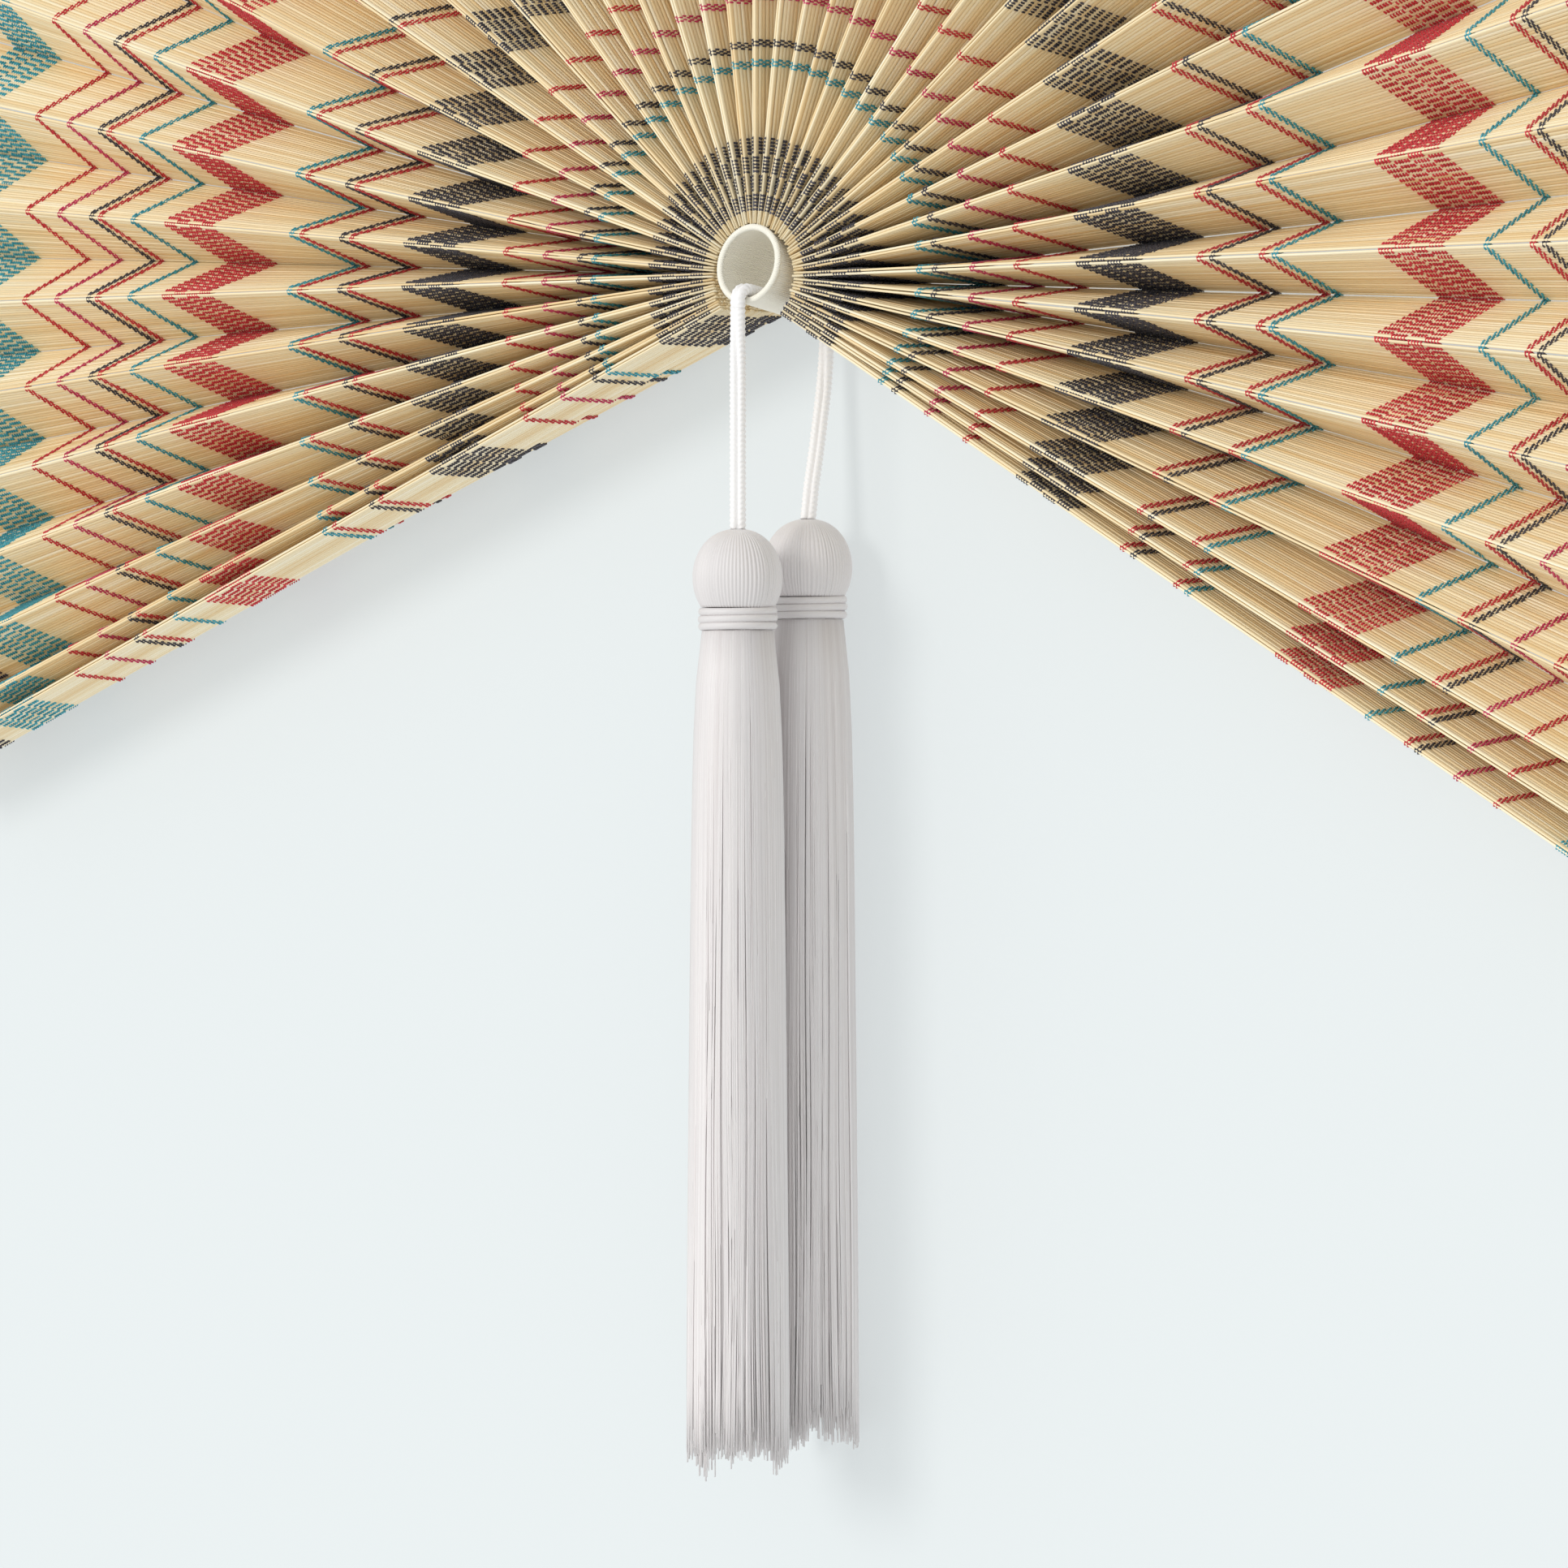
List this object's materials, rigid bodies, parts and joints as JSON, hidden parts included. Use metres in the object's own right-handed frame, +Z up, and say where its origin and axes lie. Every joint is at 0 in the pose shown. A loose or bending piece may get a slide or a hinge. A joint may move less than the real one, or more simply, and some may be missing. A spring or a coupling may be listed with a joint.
{
  "type": "pleated bamboo wall fan",
  "caption": "Large open wall fan of woven split bamboo in radial pleats round a thread-wrapped tube, with a cord and two long tassels.",
  "frame": {"origin": "centre of the hub tube's rear end, where the wall peg goes in", "axes": "+X across the fan, +Y back towards the wall, +Z up; the fan faces -Y"},
  "size_m": [0.7198, 0.056, 0.677],
  "materials": {
    "bamboo": "natural split bamboo, satin",
    "hub_thread": "white cotton thread, wound",
    "card": "plain card tube",
    "cord": "braided rayon cord",
    "tassel": "pale rayon floss with a soft sheen",
    "binding": "twisted thread",
    "weave_black": "cotton thread",
    "weave_red": "cotton thread",
    "weave_magenta": "cotton thread",
    "weave_teal": "cotton thread"
  },
  "bodies": {
    "hub": {"hub_core": "card", "hub_wrap": "hub_thread", "front_rim": "hub_thread", "rear_rim": "hub_thread", "hub_cord": "cord", "binding_thread": "binding", "pleat_21": "bamboo"},
    "pleat_01": {"pleat_01": "bamboo"},
    "pleat_02": {"pleat_02": "bamboo"},
    "pleat_03": {"pleat_03": "bamboo"},
    "pleat_04": {"pleat_04": "bamboo"},
    "pleat_05": {"pleat_05": "bamboo"},
    "pleat_06": {"pleat_06": "bamboo"},
    "pleat_07": {"pleat_07": "bamboo"},
    "pleat_08": {"pleat_08": "bamboo"},
    "pleat_09": {"pleat_09": "bamboo"},
    "pleat_10": {"pleat_10": "bamboo"},
    "pleat_11": {"pleat_11": "bamboo"},
    "pleat_12": {"pleat_12": "bamboo"},
    "pleat_13": {"pleat_13": "bamboo"},
    "pleat_14": {"pleat_14": "bamboo"},
    "pleat_15": {"pleat_15": "bamboo"},
    "pleat_16": {"pleat_16": "bamboo"},
    "pleat_17": {"pleat_17": "bamboo"},
    "pleat_18": {"pleat_18": "bamboo"},
    "pleat_19": {"pleat_19": "bamboo"},
    "pleat_20": {"pleat_20": "bamboo"},
    "pleat_22": {"pleat_22": "bamboo"},
    "pleat_23": {"pleat_23": "bamboo"},
    "pleat_24": {"pleat_24": "bamboo"},
    "pleat_25": {"pleat_25": "bamboo"},
    "pleat_26": {"pleat_26": "bamboo"},
    "pleat_27": {"pleat_27": "bamboo"},
    "pleat_28": {"pleat_28": "bamboo"},
    "pleat_29": {"pleat_29": "bamboo"},
    "pleat_30": {"pleat_30": "bamboo"},
    "pleat_31": {"pleat_31": "bamboo"},
    "pleat_32": {"pleat_32": "bamboo"},
    "pleat_33": {"pleat_33": "bamboo"},
    "pleat_34": {"pleat_34": "bamboo"},
    "pleat_35": {"pleat_35": "bamboo"},
    "pleat_36": {"pleat_36": "bamboo"},
    "pleat_37": {"pleat_37": "bamboo"},
    "pleat_38": {"pleat_38": "bamboo"},
    "pleat_39": {"pleat_39": "bamboo"},
    "pleat_40": {"pleat_40": "bamboo"},
    "pleat_41": {"pleat_41": "bamboo"},
    "pleat_42": {"pleat_42": "bamboo"},
    "front_cord": {"front_cord": "cord"},
    "front_tassel": {"front_knot": "cord", "front_head": "tassel", "front_collar": "tassel", "front_skirt": "tassel"},
    "rear_cord": {"rear_cord": "cord"},
    "rear_tassel": {"rear_knot": "cord", "rear_head": "tassel", "rear_collar": "tassel", "rear_skirt": "tassel"}
  },
  "joints": [
    {"name": "left_fold", "type": "hinge", "parent": "hub", "child": "pleat_20", "pos_m": [-0.0004, -0.0145, 0.01549], "axis": [0, 1, 0], "range_deg": [0, 6.97], "deforming": ["pleat_20", "pleat_21", "binding_thread"]},
    {"name": "left_fold_02", "type": "hinge", "parent": "pleat_20", "child": "pleat_19", "pos_m": [-0.00192, -0.0145, 0.01537], "axis": [0, 1, 0], "range_deg": [0, 6.96], "deforming": ["pleat_19"]},
    {"name": "left_fold_03", "type": "hinge", "parent": "pleat_19", "child": "pleat_18", "pos_m": [-0.00342, -0.0145, 0.01507], "axis": [0, 1, 0], "range_deg": [0, 6.88], "deforming": ["pleat_18"]},
    {"name": "left_fold_04", "type": "hinge", "parent": "pleat_18", "child": "pleat_17", "pos_m": [-0.00488, -0.0145, 0.01461], "axis": [0, 1, 0], "range_deg": [0, 6.73], "deforming": ["pleat_17"]},
    {"name": "left_fold_05", "type": "hinge", "parent": "pleat_17", "child": "pleat_16", "pos_m": [-0.00628, -0.0145, 0.014], "axis": [0, 1, 0], "range_deg": [0, 6.56], "deforming": ["pleat_16"]},
    {"name": "left_fold_06", "type": "hinge", "parent": "pleat_16", "child": "pleat_15", "pos_m": [-0.0076, -0.0145, 0.01324], "axis": [0, 1, 0], "range_deg": [0, 6.39], "deforming": ["pleat_15"]},
    {"name": "left_fold_07", "type": "hinge", "parent": "pleat_15", "child": "pleat_14", "pos_m": [-0.00883, -0.0145, 0.01233], "axis": [0, 1, 0], "range_deg": [0, 6.23], "deforming": ["pleat_14"]},
    {"name": "left_fold_08", "type": "hinge", "parent": "pleat_14", "child": "pleat_13", "pos_m": [-0.00996, -0.0145, 0.0113], "axis": [0, 1, 0], "range_deg": [0, 6.11], "deforming": ["pleat_13"]},
    {"name": "left_fold_09", "type": "hinge", "parent": "pleat_13", "child": "pleat_12", "pos_m": [-0.01096, -0.0145, 0.01015], "axis": [0, 1, 0], "range_deg": [0, 6.01], "deforming": ["pleat_12"]},
    {"name": "left_fold_10", "type": "hinge", "parent": "pleat_12", "child": "pleat_11", "pos_m": [-0.01183, -0.0145, 0.00889], "axis": [0, 1, 0], "range_deg": [0, 5.92], "deforming": ["pleat_11"]},
    {"name": "left_fold_11", "type": "hinge", "parent": "pleat_11", "child": "pleat_10", "pos_m": [-0.01256, -0.0145, 0.00755], "axis": [0, 1, 0], "range_deg": [0, 5.81], "deforming": ["pleat_10"]},
    {"name": "left_fold_12", "type": "hinge", "parent": "pleat_10", "child": "pleat_09", "pos_m": [-0.01314, -0.0145, 0.00614], "axis": [0, 1, 0], "range_deg": [0, 5.66], "deforming": ["pleat_09"]},
    {"name": "left_fold_13", "type": "hinge", "parent": "pleat_09", "child": "pleat_08", "pos_m": [-0.01356, -0.0145, 0.00467], "axis": [0, 1, 0], "range_deg": [0, 5.44], "deforming": ["pleat_08"]},
    {"name": "left_fold_14", "type": "hinge", "parent": "pleat_08", "child": "pleat_07", "pos_m": [-0.01381, -0.0145, 0.00316], "axis": [0, 1, 0], "range_deg": [0, 5.14], "deforming": ["pleat_07"]},
    {"name": "left_fold_15", "type": "hinge", "parent": "pleat_07", "child": "pleat_06", "pos_m": [-0.0139, -0.0145, 0.00164], "axis": [0, 1, 0], "range_deg": [0, 4.96], "deforming": ["pleat_06"]},
    {"name": "left_fold_16", "type": "hinge", "parent": "pleat_06", "child": "pleat_05", "pos_m": [-0.01382, -0.0145, 0.00011], "axis": [0, 1, 0], "range_deg": [0, 4.52], "deforming": ["pleat_05"]},
    {"name": "left_fold_17", "type": "hinge", "parent": "pleat_05", "child": "pleat_04", "pos_m": [-0.01357, -0.0145, -0.0014], "axis": [0, 1, 0], "range_deg": [0, 4.06], "deforming": ["pleat_04"]},
    {"name": "left_fold_18", "type": "hinge", "parent": "pleat_04", "child": "pleat_03", "pos_m": [-0.01316, -0.0145, -0.00287], "axis": [0, 1, 0], "range_deg": [0, 3.6], "deforming": ["pleat_03"]},
    {"name": "left_fold_19", "type": "hinge", "parent": "pleat_03", "child": "pleat_02", "pos_m": [-0.01259, -0.0145, -0.00428], "axis": [0, 1, 0], "range_deg": [0, 3], "deforming": ["pleat_02"]},
    {"name": "left_fold_20", "type": "hinge", "parent": "pleat_02", "child": "pleat_01", "pos_m": [-0.01187, -0.0145, -0.00563], "axis": [0, 1, 0], "range_deg": [0, 1.21], "deforming": ["pleat_01"]},
    {"name": "right_fold", "type": "hinge", "parent": "hub", "child": "pleat_22", "pos_m": [0.00113, -0.0145, 0.01545], "axis": [0, -1, 0], "range_deg": [0, 6.9], "deforming": ["pleat_22"]},
    {"name": "right_fold_02", "type": "hinge", "parent": "pleat_22", "child": "pleat_23", "pos_m": [0.00264, -0.0145, 0.01525], "axis": [0, -1, 0], "range_deg": [0, 6.75], "deforming": ["pleat_23"]},
    {"name": "right_fold_03", "type": "hinge", "parent": "pleat_23", "child": "pleat_24", "pos_m": [0.00412, -0.0145, 0.01487], "axis": [0, -1, 0], "range_deg": [0, 6.55], "deforming": ["pleat_24"]},
    {"name": "right_fold_04", "type": "hinge", "parent": "pleat_24", "child": "pleat_25", "pos_m": [0.00555, -0.0145, 0.01434], "axis": [0, -1, 0], "range_deg": [0, 6.33], "deforming": ["pleat_25"]},
    {"name": "right_fold_05", "type": "hinge", "parent": "pleat_25", "child": "pleat_26", "pos_m": [0.00692, -0.0145, 0.01366], "axis": [0, -1, 0], "range_deg": [0, 6.13], "deforming": ["pleat_26"]},
    {"name": "right_fold_06", "type": "hinge", "parent": "pleat_26", "child": "pleat_27", "pos_m": [0.0082, -0.0145, 0.01282], "axis": [0, -1, 0], "range_deg": [0, 5.99], "deforming": ["pleat_27"]},
    {"name": "right_fold_07", "type": "hinge", "parent": "pleat_27", "child": "pleat_28", "pos_m": [0.00938, -0.0145, 0.01186], "axis": [0, -1, 0], "range_deg": [0, 5.92], "deforming": ["pleat_28"]},
    {"name": "right_fold_08", "type": "hinge", "parent": "pleat_28", "child": "pleat_29", "pos_m": [0.01045, -0.0145, 0.01077], "axis": [0, -1, 0], "range_deg": [0, 5.93], "deforming": ["pleat_29"]},
    {"name": "right_fold_09", "type": "hinge", "parent": "pleat_29", "child": "pleat_30", "pos_m": [0.01139, -0.0145, 0.00956], "axis": [0, -1, 0], "range_deg": [0, 6.01], "deforming": ["pleat_30"]},
    {"name": "right_fold_10", "type": "hinge", "parent": "pleat_30", "child": "pleat_31", "pos_m": [0.0122, -0.0145, 0.00826], "axis": [0, -1, 0], "range_deg": [0, 6.13], "deforming": ["pleat_31"]},
    {"name": "right_fold_11", "type": "hinge", "parent": "pleat_31", "child": "pleat_32", "pos_m": [0.01286, -0.0145, 0.00689], "axis": [0, -1, 0], "range_deg": [0, 6.23], "deforming": ["pleat_32"]},
    {"name": "right_fold_12", "type": "hinge", "parent": "pleat_32", "child": "pleat_33", "pos_m": [0.01336, -0.0145, 0.00544], "axis": [0, -1, 0], "range_deg": [0, 6.28], "deforming": ["pleat_33"]},
    {"name": "right_fold_13", "type": "hinge", "parent": "pleat_33", "child": "pleat_34", "pos_m": [0.0137, -0.0145, 0.00395], "axis": [0, -1, 0], "range_deg": [0, 6.24], "deforming": ["pleat_34"]},
    {"name": "right_fold_14", "type": "hinge", "parent": "pleat_34", "child": "pleat_35", "pos_m": [0.01388, -0.0145, 0.00244], "axis": [0, -1, 0], "range_deg": [0, 6.07], "deforming": ["pleat_35"]},
    {"name": "right_fold_15", "type": "hinge", "parent": "pleat_35", "child": "pleat_36", "pos_m": [0.01388, -0.0145, 0.00091], "axis": [0, -1, 0], "range_deg": [0, 5.97], "deforming": ["pleat_36"]},
    {"name": "right_fold_16", "type": "hinge", "parent": "pleat_36", "child": "pleat_37", "pos_m": [0.01372, -0.0145, -0.00061], "axis": [0, -1, 0], "range_deg": [0, 5.57], "deforming": ["pleat_37"]},
    {"name": "right_fold_17", "type": "hinge", "parent": "pleat_37", "child": "pleat_38", "pos_m": [0.0134, -0.0145, -0.0021], "axis": [0, -1, 0], "range_deg": [0, 5.08], "deforming": ["pleat_38"]},
    {"name": "right_fold_18", "type": "hinge", "parent": "pleat_38", "child": "pleat_39", "pos_m": [0.01291, -0.0145, -0.00355], "axis": [0, -1, 0], "range_deg": [0, 4.55], "deforming": ["pleat_39"]},
    {"name": "right_fold_19", "type": "hinge", "parent": "pleat_39", "child": "pleat_40", "pos_m": [0.01227, -0.0145, -0.00494], "axis": [0, -1, 0], "range_deg": [0, 3.83], "deforming": ["pleat_40"]},
    {"name": "right_fold_20", "type": "hinge", "parent": "pleat_40", "child": "pleat_41", "pos_m": [0.01148, -0.0145, -0.00624], "axis": [0, -1, 0], "range_deg": [0, 1.9], "deforming": ["pleat_41"]},
    {"name": "right_fold_21", "type": "hinge", "parent": "pleat_41", "child": "pleat_42", "pos_m": [0.01055, -0.0145, -0.00745], "axis": [0, -1, 0], "range_deg": [0, 1.49], "deforming": ["pleat_42"]},
    {"name": "front_cord_swing", "type": "hinge", "parent": "hub", "child": "front_cord", "pos_m": [0, -0.03516, -0.0069], "axis": [0, 1, 0], "range_deg": [-35, 35], "deforming": ["front_cord"]},
    {"name": "front_tassel_swing", "type": "hinge", "parent": "front_cord", "child": "front_tassel", "pos_m": [0, -0.03516, -0.065], "axis": [0, 1, 0], "range_deg": [-15, 15]},
    {"name": "rear_cord_swing", "type": "hinge", "parent": "hub", "child": "rear_cord", "pos_m": [0, 0.00145, -0.01175], "axis": [0, 1, 0], "range_deg": [-35, 35], "deforming": ["rear_cord"]},
    {"name": "rear_tassel_swing", "type": "hinge", "parent": "rear_cord", "child": "rear_tassel", "pos_m": [0, -0.0064, -0.062], "axis": [0, 1, 0], "range_deg": [-15, 15]}
  ],
  "couplings": [
    {"joint": "left_fold_02", "follows": "left_fold", "ratio": 0.9987},
    {"joint": "left_fold_03", "follows": "left_fold", "ratio": 0.9863},
    {"joint": "left_fold_04", "follows": "left_fold", "ratio": 0.9657},
    {"joint": "left_fold_05", "follows": "left_fold", "ratio": 0.941},
    {"joint": "left_fold_06", "follows": "left_fold", "ratio": 0.916},
    {"joint": "left_fold_07", "follows": "left_fold", "ratio": 0.8939},
    {"joint": "left_fold_08", "follows": "left_fold", "ratio": 0.8762},
    {"joint": "left_fold_09", "follows": "left_fold", "ratio": 0.862},
    {"joint": "left_fold_10", "follows": "left_fold", "ratio": 0.8492},
    {"joint": "left_fold_11", "follows": "left_fold", "ratio": 0.8338},
    {"joint": "left_fold_12", "follows": "left_fold", "ratio": 0.812},
    {"joint": "left_fold_13", "follows": "left_fold", "ratio": 0.7804},
    {"joint": "left_fold_14", "follows": "left_fold", "ratio": 0.7373},
    {"joint": "left_fold_15", "follows": "left_fold", "ratio": 0.7109},
    {"joint": "left_fold_16", "follows": "left_fold", "ratio": 0.6483},
    {"joint": "left_fold_17", "follows": "left_fold", "ratio": 0.5818},
    {"joint": "left_fold_18", "follows": "left_fold", "ratio": 0.5164},
    {"joint": "left_fold_19", "follows": "left_fold", "ratio": 0.4296},
    {"joint": "left_fold_20", "follows": "left_fold", "ratio": 0.1736},
    {"joint": "right_fold_02", "follows": "right_fold", "ratio": 0.9783},
    {"joint": "right_fold_03", "follows": "right_fold", "ratio": 0.9491},
    {"joint": "right_fold_04", "follows": "right_fold", "ratio": 0.9175},
    {"joint": "right_fold_05", "follows": "right_fold", "ratio": 0.8889},
    {"joint": "right_fold_06", "follows": "right_fold", "ratio": 0.8682},
    {"joint": "right_fold_07", "follows": "right_fold", "ratio": 0.8584},
    {"joint": "right_fold_08", "follows": "right_fold", "ratio": 0.8602},
    {"joint": "right_fold_09", "follows": "right_fold", "ratio": 0.8716},
    {"joint": "right_fold_10", "follows": "right_fold", "ratio": 0.8879},
    {"joint": "right_fold_11", "follows": "right_fold", "ratio": 0.9029},
    {"joint": "right_fold_12", "follows": "right_fold", "ratio": 0.9102},
    {"joint": "right_fold_13", "follows": "right_fold", "ratio": 0.9038},
    {"joint": "right_fold_14", "follows": "right_fold", "ratio": 0.8801},
    {"joint": "right_fold_15", "follows": "right_fold", "ratio": 0.866},
    {"joint": "right_fold_16", "follows": "right_fold", "ratio": 0.8072},
    {"joint": "right_fold_17", "follows": "right_fold", "ratio": 0.7364},
    {"joint": "right_fold_18", "follows": "right_fold", "ratio": 0.6595},
    {"joint": "right_fold_19", "follows": "right_fold", "ratio": 0.555},
    {"joint": "right_fold_20", "follows": "right_fold", "ratio": 0.2756},
    {"joint": "right_fold_21", "follows": "right_fold", "ratio": 0.2161}
  ]
}
